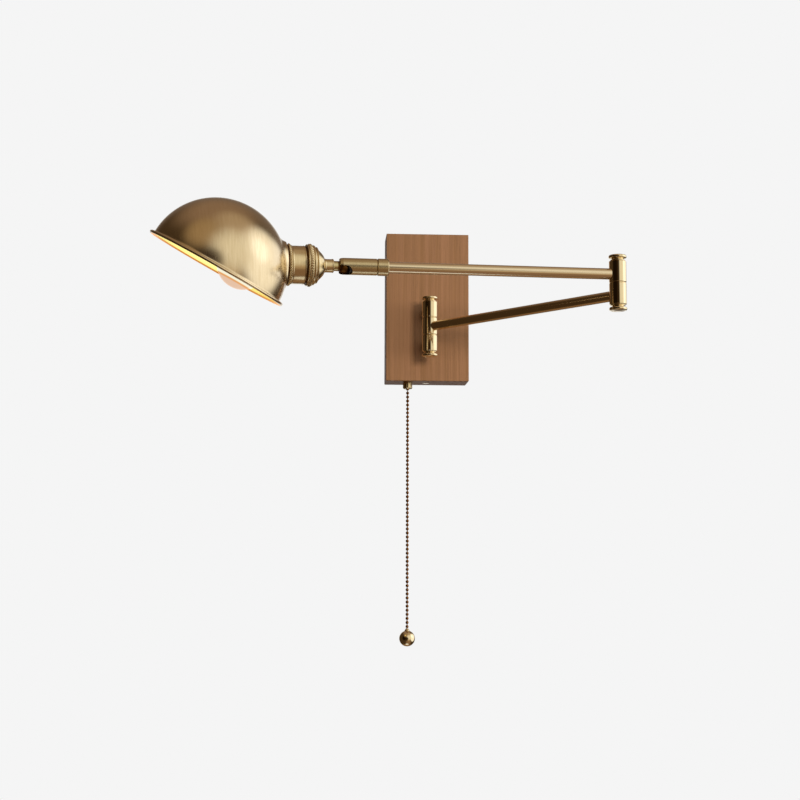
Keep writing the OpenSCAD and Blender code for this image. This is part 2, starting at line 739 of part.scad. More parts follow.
module stem_nut() color(steel) in_ball() difference() {
    translate([0, 0, cap_back + holder_wall + seat_gap]) hexagon(stem_nut_across, 0, stem_nut_t);
    cylinder(d = stem_thread_d + 2 * fit_gap, h = 2 * cap_back);
}

// Lamp holder

module stem_collar() color(brass) in_head()
    ring(stem_collar_d, stem_thread_d + 2 * fit_gap, stem_collar_at, cap_back, collar_chamfer);

// Outline of the domed cap, from the stem collar out to the knurled ring
function cap_outline(wall) = concat([[0, cap_back + wall]], [
    for (i = [0:len(cap_r_shares) - 1]) let (rise = i < cap_dome_steps ? wall : 0)
        [shell_d * cap_r_shares[i] - wall, cap_back + cap_len * cap_z_shares[i] + rise]
]);

module holder_cap() color(brass) in_head() difference() {
    turned(concat(cap_outline(0), [[0, ring_back]]));
    turned(concat(cap_outline(holder_wall), [[0, ring_back]]));
    translate([0, 0, ring_back]) cylinder(d = 2 * shell_d, h = over);
    cylinder(d = stem_thread_d + 2 * fit_gap, h = ring_back);
}

// A ring with a rounded, knurled edge
module knurled_ring(d, hole, from, to) difference() {
    turned([
        [0, from], [d / 2 - ring_bead, from], [d / 2, from + ring_bead],
        [d / 2, to - ring_bead], [d / 2 - ring_bead, to], [0, to]
    ]);
    translate([0, 0, from - over]) cylinder(d = hole, h = to - from + 2 * over);
}

module rear_ring() color(brass) in_head()
    knurled_ring(rear_ring_d, shell_d - 2 * holder_wall, ring_back, shell_back);

module holder_shell() color(brass) in_head() difference() {
    turned([
        [0, shell_back], [flange_d / 2, shell_back], [flange_d / 2, shell_back + flange_w],
        [shell_d / 2, shell_back + flange_w + flange_slope], [shell_d / 2, shell_front], [0, shell_front]
    ]);
    translate([0, 0, shell_back - over])
        cylinder(d = shell_d - 2 * holder_wall, h = shell_len + over - holder_wall);
    translate([0, 0, shell_back]) cylinder(d = insulator_d + 2 * fit_gap, h = shell_len + over);
}

module front_ring() color(brass) in_head()
    knurled_ring(front_ring_d, insulator_d + 2 * fit_gap, shell_front, mouth_plane);

module inner_shade_ring() color(brass) in_head()
    ring(inner_ring_d, insulator_d + 2 * fit_gap, mouth_plane + shade_wall,
        mouth_plane + shade_wall + inner_ring_w, collar_chamfer);

module holder_insulator() color(porcelain) in_head() difference() {
    union() {
        ring(insulator_d, 2 * holder_screw_d, insulator_back, holder_front);
        ring(insulator_flange_d, insulator_d - over, insulator_back, insulator_back + insulator_flange_w);
    }
    translate([0, 0, insulator_back + insulator_floor])
        cylinder(d = insulator_d - 2 * insulator_wall, h = holder_front);
    for (s = [-1, 1]) translate([s * holder_screw_at, 0, insulator_back - over])
        cylinder(d = holder_screw_d + 2 * fit_gap, h = holder_screw_len + over);
}

module screw_shell() color(bright_brass) in_head()
    ring(screw_shell_d, screw_shell_d - 2 * screw_shell_wall,
        insulator_back + insulator_floor, holder_front - seat_gap);

module centre_contact() color(steel) in_head() difference() {
    translate([-contact_w / 2, -contact_w / 2, insulator_back + insulator_floor])
        cube([contact_w, contact_w, contact_rise]);
    translate([-contact_w / 2 + contact_t, -contact_w, insulator_back + insulator_floor + contact_t])
        cube([contact_w, 2 * contact_w, contact_rise - 2 * contact_t]);
}

module holder_screws() color(steel) in_head() for (s = [-1, 1])
    translate([s * holder_screw_at, 0, insulator_back + holder_screw_len - seat_gap]) mirror([0, 0, 1])
        slotted_head(holder_screw_d, holder_screw_len - seat_gap, block_screw_slot);

module lamp_leads() color(flex_colour) in_head() for (s = [-1, 1])
    translate([0, s * lead_apart / 2, cap_back])
        cylinder(d = lamp_lead_d, h = insulator_back + insulator_floor / 2 - cap_back);

// Shade: a dome about its own centre with a drawn neck round the holder's axis

// Neck about the holder's axis: flat end, short cylinder and a concave sweep into the dome
module neck_body(inset) rotate_extrude() difference() {
    polygon([
        [0, mouth_plane + inset], [neck_r + neck_fillet, mouth_plane + inset],
        [neck_r + neck_fillet * neck_share, mouth_plane + neck_fillet],
        [neck_r, dome_centre_at - dome_r / 2], [0, dome_centre_at - dome_r / 2]
    ]);
    translate([neck_r + neck_fillet, mouth_plane]) circle(r = neck_fillet + inset);
}

// The dome's ball, cut flat where its crown would reach past the neck's end
module dome_body(inset) difference() {
    translate([dome_offset, 0, dome_centre_at]) sphere(r = dome_r - inset);
    cylinder(r = dome_r, h = mouth_plane + inset);
}

module shade() color(brass) {
    difference() {
        in_head() union() {
            dome_body(0);
            neck_body(0);
        }
        in_head() dome_body(shade_wall);
        in_head() neck_body(shade_wall);
        in_head() cylinder(d = insulator_d + 2 * seat_gap, h = dome_centre_at);
        in_mouth() translate([0, 0, dome_r]) cube(2 * dome_r + 2 * over, center = true);
    }
    in_mouth() shade_rim();
}

// Flared rim with a rolled edge, turned about the mouth's own axis
module shade_rim() rotate_extrude() {
    translate([rim_flange_in, -rim_flange_t]) square([rim_bead_at - rim_flange_in, rim_flange_t]);
    translate([rim_bead_at, -rim_flange_t / 2]) circle(r = rim_bead_r);
}

// Bulb

module bulb_cap() color(bright_brass) in_head() difference() {
    turned([
        [0, bulb_back], [bulb_contact_d / 2, bulb_back],
        [bulb_cap_d / 2 - bulb_contact_len, bulb_back + bulb_contact_len],
        [bulb_cap_d / 2, bulb_back + 1.5 * bulb_contact_len],
        [bulb_cap_d / 2, bulb_back + bulb_cap_len], [0, bulb_back + bulb_cap_len]
    ]);
    translate([0, 0, bulb_back + 2 * bulb_contact_len])
        cylinder(d = bulb_cap_d - 2 * bulb_cap_wall, h = bulb_cap_len);
}

// Half section of the glass: a neck and a ball, joined by a concave sweep tangent to both
function bulb_section(inset) = let (
    r = bulb_d / 2 - inset,
    neck = bulb_neck_d / 2 - inset,
    sweep = bulb_sweep_r + inset,
    drop = sqrt((r + sweep) * (r + sweep) - (neck + sweep) * (neck + sweep)),
    turn = acos(drop / (r + sweep))
) concat(
    [[0, bulb_glass_back + inset], [neck, bulb_glass_back + inset]],
    arc(neck + sweep, bulb_centre - drop, sweep, 180, 90 + turn, 6),
    arc(0, bulb_centre, r, turn - 90, 90, 20)
);

module bulb_glass() color(warm_glass) in_head() difference() {
    turned(bulb_section(0));
    turned(bulb_section(bulb_glass_wall));
}

module bulb_filament() color("#ffcf7a") in_head() {
    ring(filament_stem_d, filament_d, bulb_glass_back + bulb_glass_wall,
        bulb_centre - filament_len / 2);
    for (i = [0:3]) rotate([0, 0, 90 * i])
        translate([filament_stem_d / 2 - filament_d / 2, 0, bulb_centre - filament_len / 2 - filament_d])
            rotate([0, filament_lean, 0]) cylinder(d = filament_d, h = filament_len);
}

wood_backplate();
mounting_strap();
base_lock_screws();
terminal_block();
terminal_screws();
base_wiring();
pull_switch_body();
switch_nipple();
switch_nut();
wall_knuckle_top();
wall_knuckle_bottom();
knuckle_nuts();
wall_hinge_pin();
wall_hinge_cap_top();
wall_hinge_cap_bottom();
wall_hinge_washers();
wall_knuckle_middle();
lower_arm_tube();
lower_arm_flex();
elbow_barrel_lower();
elbow_pin();
elbow_cap_top();
elbow_cap_bottom();
elbow_washer();
elbow_barrel_upper();
upper_arm_tube();
upper_arm_flex();
arm_end_collar();
swivel_sleeve();
swivel_seat();
swivel_springs();
sleeve_stop_screw();
swivel_ball_stud();
stem_nut();
stem_collar();
holder_cap();
rear_ring();
holder_shell();
front_ring();
inner_shade_ring();
holder_insulator();
screw_shell();
centre_contact();
holder_screws();
lamp_leads();
shade();
bulb_cap();
bulb_glass();
bulb_filament();
switch_plunger();
chain_top_bead();
pull_chain();
chain_bell();
chain_ball();
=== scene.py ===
"""Looks of a swing-arm wall lamp: walnut plate, brass arms, slotted ball swivel and a lit half-dome shade.

Lengths in the tables below are in millimetres, as in the part's source, and turn to metres when a mesh is made.
"""

import math

import bmesh
import bpy
import numpy as np
from mathutils import Matrix, Vector


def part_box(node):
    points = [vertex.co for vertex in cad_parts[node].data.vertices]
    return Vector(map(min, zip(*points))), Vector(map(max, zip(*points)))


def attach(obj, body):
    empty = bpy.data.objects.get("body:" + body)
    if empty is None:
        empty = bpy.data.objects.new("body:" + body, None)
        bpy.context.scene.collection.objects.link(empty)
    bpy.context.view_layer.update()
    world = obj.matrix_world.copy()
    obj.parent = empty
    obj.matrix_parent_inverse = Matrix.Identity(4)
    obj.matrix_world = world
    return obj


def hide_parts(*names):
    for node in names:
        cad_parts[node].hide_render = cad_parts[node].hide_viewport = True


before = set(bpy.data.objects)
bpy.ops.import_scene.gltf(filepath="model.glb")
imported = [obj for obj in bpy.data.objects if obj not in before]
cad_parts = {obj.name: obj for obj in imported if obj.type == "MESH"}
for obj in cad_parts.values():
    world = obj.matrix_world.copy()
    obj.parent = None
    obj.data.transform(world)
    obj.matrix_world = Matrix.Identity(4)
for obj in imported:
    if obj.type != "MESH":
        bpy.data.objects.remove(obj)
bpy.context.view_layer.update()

MM = 0.001

# Camera: fitted to the photograph of 800 x 800 pixels, level with the lower part of the chain and looking up a
# little. Its place is in millimetres, its turns are in degrees.
CAMERA_AT = (-112.7, -1462.6, -260.9)
CAMERA_RIGHT_TURN, CAMERA_PITCH, CAMERA_ROLL = 3.39, 6.56, 0.166
CAMERA_LENS = 63.54
SENSOR = 36.0


def look():
    """The camera's axes: forward from its turn and pitch, right across it, both rolled about forward."""
    turn, pitch, roll = (math.radians(a) for a in (CAMERA_RIGHT_TURN, CAMERA_PITCH, CAMERA_ROLL))
    forward = Vector((math.sin(turn) * math.cos(pitch), math.cos(turn) * math.cos(pitch), math.sin(pitch)))
    right = Vector((math.cos(turn), -math.sin(turn), 0))
    up = right.cross(forward)
    right, up = (right * math.cos(roll) + up * math.sin(roll), up * math.cos(roll) - right * math.sin(roll))
    return Matrix((right, up, -forward)).transposed().to_4x4()


camera = bpy.data.objects.new("camera", bpy.data.cameras.new("camera"))
camera.data.sensor_width = SENSOR
camera.data.lens = CAMERA_LENS
camera.data.clip_start, camera.data.clip_end = 0.05, 50
camera.matrix_world = Matrix.Translation(Vector(CAMERA_AT) * MM) @ look()
bpy.context.scene.collection.objects.link(camera)
bpy.context.scene.camera = camera
bpy.context.scene.view_settings.view_transform = "Standard"

# ---------------------------------------------------------------- places


def turned_about(axis, degrees):
    """Rotation matrix about X, Y or Z."""
    c, s = math.cos(math.radians(degrees)), math.sin(math.radians(degrees))
    return np.array({
        "x": [[1, 0, 0], [0, c, -s], [0, s, c]],
        "y": [[c, 0, s], [0, 1, 0], [-s, 0, c]],
        "z": [[c, -s, 0], [s, c, 0], [0, 0, 1]],
    }[axis])


# Hinges and arms as in the part's source: the wall hinge's middle, the arms' lengths between axes and their turns
# at rest, the turns of the swivel's slot and of the head, and the barrels' lengths with the gaps between them
HINGE = np.array([0.0, -63.0, -25.0])
LOWER_ARM, UPPER_ARM = 236.0, 244.4
LOWER_SWING, UPPER_SWING = 49.6, 3.8
SLOT_TURN, HEAD_TILT, HEAD_LEAN, HEAD_ROLL = 48.0, 5.8, 4.2, 34.8
ELBOW_BARREL, JOINT_GAP, TUBE_LOW = 19.2, 0.75, (1.0, 2.0)
WALL_BARREL, MIDDLE_BARREL = 16.0, 17.0

UPRIGHT = np.eye(3)
arm_step = ELBOW_BARREL + JOINT_GAP + TUBE_LOW[0] - TUBE_LOW[1]
elbow = HINGE + np.array([
    LOWER_ARM * math.cos(math.radians(LOWER_SWING)), -LOWER_ARM * math.sin(math.radians(LOWER_SWING)), arm_step])
upper = turned_about("z", UPPER_SWING - 180)
lower = turned_about("z", -LOWER_SWING)
ball = elbow + upper @ np.array([UPPER_ARM, 0, 0])
sleeve = upper @ turned_about("x", -SLOT_TURN) @ turned_about("y", 90)
stud = (upper @ turned_about("x", -SLOT_TURN) @ turned_about("z", HEAD_TILT)
        @ turned_about("y", -HEAD_LEAN) @ turned_about("y", 90))
head = stud @ turned_about("z", HEAD_ROLL)

# ---------------------------------------------------------------- meshes


def mesh_piece(name, points, body, materials, replaces=(), loop=False, sharp=35, face_material=None):
    """A grid of points, rows by columns, closed round its columns and, with loop, round its rows.
    Coinciding points are merged, so poles and seams are closed, and faces point outwards."""
    rows, cols = points.shape[:2]
    index = np.arange(rows * cols).reshape(rows, cols)
    nxt = np.roll(index, -1, 1)
    top, top_next = (np.roll(index, -1, 0), np.roll(nxt, -1, 0)) if loop else (index[1:], nxt[1:])
    low, low_next = (index, nxt) if loop else (index[:-1], nxt[:-1])
    faces = np.stack([low, low_next, top_next, top], -1).reshape(-1, 4)
    mesh = bpy.data.meshes.new(name)
    mesh.from_pydata((points.reshape(-1, 3) * MM).tolist(), [], faces.tolist())
    for m in materials:
        mesh.materials.append(m)
    if face_material is not None:
        mesh.polygons.foreach_set("material_index", np.repeat(face_material, cols).astype(np.int32))
    work = bmesh.new()
    work.from_mesh(mesh)
    bmesh.ops.remove_doubles(work, verts=work.verts, dist=1e-7)
    bmesh.ops.recalc_face_normals(work, faces=work.faces)
    work.to_mesh(mesh)
    work.free()
    mesh.shade_smooth()
    mesh.set_sharp_from_angle(angle=math.radians(sharp))
    piece = bpy.data.objects.new(name, mesh)
    bpy.context.scene.collection.objects.link(piece)
    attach(piece, body)
    if replaces:
        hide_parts(*replaces)
    return piece


def soften(corners, radius, steps=5):
    """A closed outline with each corner replaced by a quadratic curve that starts and ends radius away from it."""
    c = np.asarray(corners, float)
    back, on = np.roll(c, 1, 0) - c, np.roll(c, -1, 0) - c
    long_back, long_on = np.linalg.norm(back, axis=1), np.linalg.norm(on, axis=1)
    r = np.minimum(np.broadcast_to(radius, long_back.shape), 0.45 * np.minimum(long_back, long_on))
    a, b = c + back * (r / long_back)[:, None], c + on * (r / long_on)[:, None]
    t = np.linspace(0, 1, steps)[None, :, None]
    return ((1 - t) ** 2 * a[:, None] + 2 * t * (1 - t) * c[:, None] + t ** 2 * b[:, None]).reshape(-1, 2)


def turned(outline, axes, origin, columns=96):
    """A closed outline of radius and height, turned once about the third axis of a place."""
    a = np.linspace(0, 2 * np.pi, columns, endpoint=False)
    r, z = outline[:, :1], outline[:, 1:2]
    grid = np.stack([r * np.cos(a), r * np.sin(a), np.broadcast_to(z, (len(outline), columns))], -1)
    return grid @ axes.T + origin


# ---------------------------------------------------------------- materials


def linear(hexa):
    """Linear colour of an sRGB hex value."""
    c = np.array([int(hexa[i:i + 2], 16) / 255 for i in (1, 3, 5)])
    c = np.where(c <= 0.04045, c / 12.92, ((c + 0.055) / 1.055) ** 2.4)
    return (*[float(v) for v in c], 1.0)


def add(tree, kind, values=None, links=None, **settings):
    """Adds a node with its settings, its socket values and the outputs that feed its sockets."""
    n = tree.nodes.new(kind)
    for key, value in settings.items():
        setattr(n, key, value)
    for key, value in (values or {}).items():
        n.inputs[key].default_value = value
    for key, source in (links or {}).items():
        tree.links.new(source, n.inputs[key])
    return n


def ramp(tree, value, low, high, to_low=0.0, to_high=1.0, soft=False):
    """Maps low and high to two other values and holds them beyond; soft eases in and out."""
    kind = "SMOOTHSTEP" if soft else "LINEAR"
    return add(tree, "ShaderNodeMapRange", {"From Min": low, "From Max": high, "To Min": to_low, "To Max": to_high},
               {"Value": value}, interpolation_type=kind).outputs[0]


def tones(tree, share, first, second):
    """A colour between two sRGB hex values."""
    return add(tree, "ShaderNodeMixRGB", {"Color1": linear(first), "Color2": linear(second)}, {"Fac": share}).outputs[0]


def noise(tree, at, scale, detail, roughness=0.5):
    """Noise of a scale, 0 to 1, mostly between the two values of SPREAD."""
    return add(tree, "ShaderNodeTexNoise", {"Scale": scale, "Detail": detail, "Roughness": roughness},
               {"Vector": at}).outputs[0]


def maths(tree, operation, first, second, **settings):
    """One number from two."""
    return add(tree, "ShaderNodeMath", links={0: first, 1: second}, operation=operation, **settings).outputs[0]


def distance(tree, here, place):
    """Distance from a place given in millimetres."""
    return add(tree, "ShaderNodeVectorMath", {1: Vector(place) * MM}, {0: here}, operation="DISTANCE").outputs["Value"]


def towards(tree, here, way):
    """How far a vector goes in a direction."""
    return add(tree, "ShaderNodeVectorMath", {1: Vector(way)}, {0: here}, operation="DOT_PRODUCT").outputs["Value"]


def rays(tree):
    """Whether a ray comes from the camera, and whether it comes from metal or glass."""
    path = add(tree, "ShaderNodeLightPath").outputs
    return path["Is Camera Ray"], maths(tree, "MAXIMUM", path["Is Glossy Ray"], path["Is Transmission Ray"])


def new_material(name):
    """An empty node material and its output node."""
    m = bpy.data.materials.new(name)
    m.use_nodes = True
    m.node_tree.nodes.clear()
    return m, m.node_tree, m.node_tree.nodes.new("ShaderNodeOutputMaterial")


# Values between which a noise mostly lies
SPREAD = (0.3, 0.7)
# Stretch of marks: variations in one turn of a ring, a tube's girth in millimetres, variations in a metre of a line
RING_TURN, TUBE_ROUND, LINE_RISE = 1.6, 31, 14
# Clouds in the tone of brass, in a metre
CLOUD_SCALE = 38


def brass(name, tone, deep, roughness, axes, origin, grain, way, relief=0.0, aniso=0.0, mottle=0.35):
    """Brass worked about an axis. way "round" draws turning or brushing marks as rings about the third axis, way
    "along" as lines beside it: noise read at the polar coordinates of the place, stretched along the mark. grain is
    the marks' width and relief their depth, in millimetres, and mottle the share of a cloudy tone."""
    m, t, out = new_material(name)
    here = add(t, "ShaderNodeTexCoord").outputs["Object"]
    place = Matrix([list(r) for r in axes]).to_euler()
    local = add(t, "ShaderNodeMapping", {"Location": Vector(origin) * MM, "Rotation": place}, {"Vector": here},
                vector_type="TEXTURE").outputs[0]
    part = add(t, "ShaderNodeSeparateXYZ", links={"Vector": local})
    angle = maths(t, "ARCTAN2", part.outputs["Y"], part.outputs["X"])
    flat = add(t, "ShaderNodeVectorMath", {1: (1, 1, 0)}, {0: local}, operation="MULTIPLY").outputs[0]
    radius = add(t, "ShaderNodeVectorMath", links={0: flat}, operation="LENGTH").outputs["Value"]
    polar = add(t, "ShaderNodeCombineXYZ", links={"X": radius, "Y": angle, "Z": part.outputs["Z"]}).outputs[0]
    fine = 1 / (grain * MM)
    stretch = (fine, RING_TURN, fine) if way == "round" else (fine * 0.3, TUBE_ROUND / grain, LINE_RISE)
    marks = add(t, "ShaderNodeVectorMath", {1: stretch}, {0: polar}, operation="MULTIPLY").outputs[0]
    streak = noise(t, marks, 1, 3, 0.65)
    cloud = noise(t, here, CLOUD_SCALE, 3, 0.6)
    both = add(t, "ShaderNodeMixRGB", {"Fac": mottle}, {"Color1": streak, "Color2": cloud}).outputs[0]
    tint = tones(t, ramp(t, both, *SPREAD), deep, tone)
    rough = ramp(t, streak, *SPREAD, roughness * 1.18, roughness * 0.86)
    shader = add(t, "ShaderNodeBsdfPrincipled", {"Metallic": 1.0, "Anisotropic": aniso, "Anisotropic Rotation": 0.25},
                 {"Base Color": tint, "Roughness": rough})
    if aniso:
        axis = Vector(axes[:, 2])
        arm = add(t, "ShaderNodeVectorMath", {1: Vector(origin) * MM}, {0: here}, operation="SUBTRACT").outputs[0]
        ring = add(t, "ShaderNodeVectorMath", {0: axis}, {1: arm}, operation="CROSS_PRODUCT").outputs[0]
        world = add(t, "ShaderNodeVectorTransform", links={"Vector": ring}, vector_type="VECTOR",
                    convert_from="OBJECT", convert_to="WORLD").outputs[0]
        t.links.new(world, shader.inputs["Tangent"])
    if relief:
        bump = add(t, "ShaderNodeBump", {"Strength": 0.5, "Distance": relief * MM}, {"Height": streak}).outputs[0]
        t.links.new(bump, shader.inputs["Normal"])
    t.links.new(shader.outputs[0], out.inputs["Surface"])
    return m


def walnut():
    """Oiled walnut, planed and sanded: straight brown grain that runs up the plate, in bands of a few
    millimetres with fine darker pores between them, and a dull sheen. Each scale is in waves to the metre."""
    m, t, out = new_material("oiled_walnut")
    here = add(t, "ShaderNodeTexCoord").outputs["Object"]
    drift = add(t, "ShaderNodeTexNoise", {"Scale": 9, "Detail": 2}, {"Vector": here}).outputs["Color"]
    bent = add(t, "ShaderNodeVectorMath", {1: (0.004, 0.004, 0.0)}, {0: drift}, operation="MULTIPLY").outputs[0]
    along = add(t, "ShaderNodeVectorMath", links={0: here, 1: bent}, operation="ADD").outputs[0]
    # Growth bands 6 to 10 mm wide, much longer than the plate is high
    bands_at = add(t, "ShaderNodeMapping", {"Scale": (150, 60, 3.0)}, {"Vector": along}).outputs[0]
    bands = noise(t, bands_at, 1, 2)
    # Fibres about 0.8 mm apart, drawn coarser than the wood's own 0.2 mm so that they show
    fibre_at = add(t, "ShaderNodeMapping", {"Scale": (1250, 700, 9)}, {"Vector": along}).outputs[0]
    fibre = noise(t, fibre_at, 1, 4, 0.6)
    # Pores, finer and short
    pore_at = add(t, "ShaderNodeMapping", {"Scale": (2300, 1500, 60)}, {"Vector": along}).outputs[0]
    pore = noise(t, pore_at, 1, 2)
    wide = tones(t, ramp(t, bands, 0.34, 0.66), "#8f6a49", "#a17859")
    shade_of = maths(t, "MULTIPLY", ramp(t, fibre, 0.35, 0.65, 0.86, 1.08), ramp(t, pore, 0.62, 0.72, 1.0, 0.8))
    grey = add(t, "ShaderNodeCombineXYZ", links={"X": shade_of, "Y": shade_of, "Z": shade_of}).outputs[0]
    colour = add(t, "ShaderNodeMixRGB", {"Fac": 1.0}, {"Color1": wide, "Color2": grey},
                 blend_type="MULTIPLY").outputs[0]
    bump = add(t, "ShaderNodeBump", {"Strength": 0.35, "Distance": 0.05 * MM}, {"Height": shade_of}).outputs[0]
    shader = add(t, "ShaderNodeBsdfPrincipled", {"Roughness": 0.52, "IOR": 1.5},
                 {"Base Color": colour, "Normal": bump})
    t.links.new(shader.outputs[0], out.inputs["Surface"])
    return m


def moulded(name, low, high, roughness, scale, ior=1.5, metallic=0.0, coat=0.0, relief=0.0):
    """A surface with one fine even grain: two close tones and a little relief from one noise. scale is the grain's
    width and relief its depth, in millimetres."""
    m, t, out = new_material(name)
    here = add(t, "ShaderNodeTexCoord").outputs["Object"]
    grain = noise(t, here, 1 / (scale * MM), 4, 0.6)
    colour = tones(t, ramp(t, grain, *SPREAD), low, high)
    shader = add(t, "ShaderNodeBsdfPrincipled", {"Roughness": roughness, "IOR": ior, "Metallic": metallic,
                                               "Coat Weight": coat, "Coat Roughness": 0.1}, {"Base Color": colour})
    if relief:
        bump = add(t, "ShaderNodeBump", {"Strength": 0.5, "Distance": relief * MM}, {"Height": grain}).outputs[0]
        t.links.new(bump, shader.inputs["Normal"])
    t.links.new(shader.outputs[0], out.inputs["Surface"])
    return m


# Distances from the ball's middle between which the painted shade on the ball ends
BALL_SHADE_R = (6.6, 7.4)


def ball_with_painted_shade():
    """The ball and its neck, turned from brass: the ball, where it turns in its seat inside the sleeve, is painted
    amber brown as the sleeve's shade, and the neck outside is plain brass and a little green."""
    m, t, out = new_material("brass_ball_painted_shade")
    here = add(t, "ShaderNodeTexCoord").outputs["Object"]
    unshaded = ramp(t, distance(t, here, ball), BALL_SHADE_R[0] * MM, BALL_SHADE_R[1] * MM)
    # Painted shade: the ball inside the sleeve is dark amber brown, the neck outside is brass
    colour = tones(t, unshaded, "#6e4a1e", "#cdbf92")
    rough = ramp(t, unshaded, 0, 1, 0.4, 0.2)
    shader = add(t, "ShaderNodeBsdfPrincipled", {"Metallic": 1.0}, {"Base Color": colour, "Roughness": rough})
    t.links.new(shader.outputs[0], out.inputs["Surface"])
    return m


def glowing(name, near, far, between, strength, metallic, roughness, base):
    """An emitting surface whose glow goes from one colour to another between two distances from the bulb's centre, a
    little unevenly: the filament's own glow, and painted light from the bulb on the shade's inside."""
    m, t, out = new_material(name)
    here = add(t, "ShaderNodeTexCoord").outputs["Object"]
    share = ramp(t, distance(t, here, bulb_middle), between[0] * MM, between[1] * MM, soft=True)
    uneven = ramp(t, noise(t, here, 260, 3), *SPREAD, -0.06, 0.06)
    colour = tones(t, maths(t, "ADD", share, uneven, use_clamp=True), near, far)
    shader = add(t, "ShaderNodeBsdfPrincipled", {
        "Metallic": metallic, "Roughness": roughness, "Base Color": linear(base), "Emission Strength": strength},
        {"Emission Color": colour})
    t.links.new(shader.outputs[0], out.inputs["Surface"])
    return m


# Depths under the mouth's plane between which the bulb's painted pale light turns to an amber line, and then to peach
AMBER_DEPTH, PEACH_DEPTH = (0.6, 1.5), (2.0, 3.0)


def frosted():
    """Frosted bulb, lit, with painted light and shade at the shade's mouth: the part within the shade is painted pale
    yellow as light inside the shade, then comes a painted amber line at the mouth, and the tip that stands out of the
    mouth is peach. The place of the change is the depth under the mouth's plane."""
    m, t, out = new_material("frosted_bulb_lit")
    here = add(t, "ShaderNodeTexCoord").outputs["Object"]
    below = head @ turned_about("y", MOUTH_TURN) @ np.array([0, 0, 1.0])
    arm = add(t, "ShaderNodeVectorMath", {1: Vector(dome) * MM}, {0: here}, operation="SUBTRACT").outputs[0]
    deep = towards(t, arm, below)
    amber, peach = (ramp(t, deep, low * MM, high * MM, soft=True) for low, high in (AMBER_DEPTH, PEACH_DEPTH))
    first = tones(t, amber, "#fffce0", "#eca765")
    both = add(t, "ShaderNodeMixRGB", {"Color2": linear("#ecc8ac")}, {"Color1": first, "Fac": peach}).outputs[0]
    shader = add(t, "ShaderNodeBsdfPrincipled", {
        "Roughness": 0.4, "Base Color": linear("#4a3a30"), "Emission Strength": 0.92}, {"Emission Color": both})
    t.links.new(shader.outputs[0], out.inputs["Surface"])
    return m


# Lamp holder, shade and bulb: places along the stud's axis from the ball's centre, diameters, and radii
STEM_TO, RING_BACK, SHELL_FRONT, NECK_PLANE = 17.2, 28.4, 47.3, 51.3
REAR_RING_D, FRONT_RING_D, SHELL_D, HOLDER_BORE = 37.2, 36.8, 33.0, 28.7
DOME_AT, DOME_OFF, DOME_R, SHADE_WALL, MOUTH_TURN = 109.8, 5.1, 60.0, 1.2, 61.8
NECK_R, HOLE_R = 18.9, 14.6
BULB_D, BULB_CENTRE, BULB_NECK_D, BULB_BACK, BULB_SWEEP, BULB_WALL = 45.0, 87.3, 24.0, 57.6, 8, 0.8
# Gap between faces that lie against each other
FACE_GAP = 0.05

dome = ball + head @ np.array([DOME_OFF, 0, DOME_AT])
bulb_middle = ball + head @ np.array([0, 0, BULB_CENTRE])
arm_axes = upper @ turned_about("y", 90)
lower_axes = lower @ turned_about("y", 90)

# Brass, spun and then brushed with a fine belt while it turned: soft light with faint rings about the holder
SPUN = brass("brushed_brass_spun", "#ead8b6", "#e2cda8", 0.22, head, ball, 1.5, "round",
             relief=0.004, aniso=0.3, mottle=0.15)
# Brass bar, turned and lightly brushed: finer rings about the part's own axis, olive in its shadows
TURNED_HEAD = brass("brushed_brass_turned_holder", "#e6d3ab", "#dcc89e", 0.2, head, ball, 0.7, "round", mottle=0.1)
TURNED_SLEEVE = brass("brushed_brass_turned_sleeve", "#dac9a2", "#d0be94", 0.24, sleeve, ball, 0.7, "round", mottle=0.1)
# Brass tube, drawn and brushed lengthwise: long fine lines and an even band of light
DRAWN_UPPER = brass("brushed_brass_drawn_upper", "#f2e3c6", "#e8d6b6", 0.14, arm_axes, ball, 0.5, "along", mottle=0.1)
DRAWN_LOWER = brass("brushed_brass_drawn_lower", "#e4cba2", "#d8be92", 0.18, lower_axes, HINGE, 0.5, "along",
                    mottle=0.1)
# Brass, buffed and lacquered: hard reflections, nearly black against nearly white
POLISHED = brass("polished_brass_buffed", "#f3e3bf", "#ecd9b2", 0.05, UPRIGHT, HINGE, 1.2, "round", mottle=0.6)
# Zinc-plated steel, stamped: pale blue-grey, dull
ZINC = moulded("zinc_plated_steel", "#8f9398", "#a9adb2", 0.38, 1.2, metallic=1.0)
# Phenolic and nylon, moulded: black with a faint sheen
BLACK = moulded("black_plastic_moulded", "#121113", "#1f1e20", 0.42, 0.6, relief=0.02)
# Porcelain, glazed: white with a slightly uneven gloss
GLAZED = moulded("porcelain_glazed", "#ded9cd", "#ece8de", 0.22, 4.0, coat=0.4, relief=0.03)
# PVC sheath, extruded: dark brown and dull
SHEATH = moulded("flex_sheath_extruded", "#241d1b", "#332a27", 0.5, 0.8)
# Nickel-plated bulb cap and contact: bright, slightly stained
CAP_METAL = moulded("nickel_plated_cap", "#b9b7b0", "#cfccc4", 0.25, 2.0, metallic=1.0)
# Brass in the holder's grooves, painted brown as the shade that falls in them
GROOVE_SHADE = moulded("brass_painted_groove_shade", "#5a3c20", "#74502c", 0.45, 0.6, metallic=1.0)
# Brass chain, tumbled and browned by hands: dark beads with a small glint
CHAIN = moulded("brass_chain_browned", "#8a5a30", "#a5713f", 0.3, 1.0, metallic=1.0)
# Shade's inside, with painted light from the bulb: golden beside it and pale yellow at the rim, as where it shines on
# squarely
LIT_BRASS = glowing("lit_brass_inside", "#f6c558", "#fff493", (38, 57), 1.0, 1.0, 0.35, "#d9bd8c")
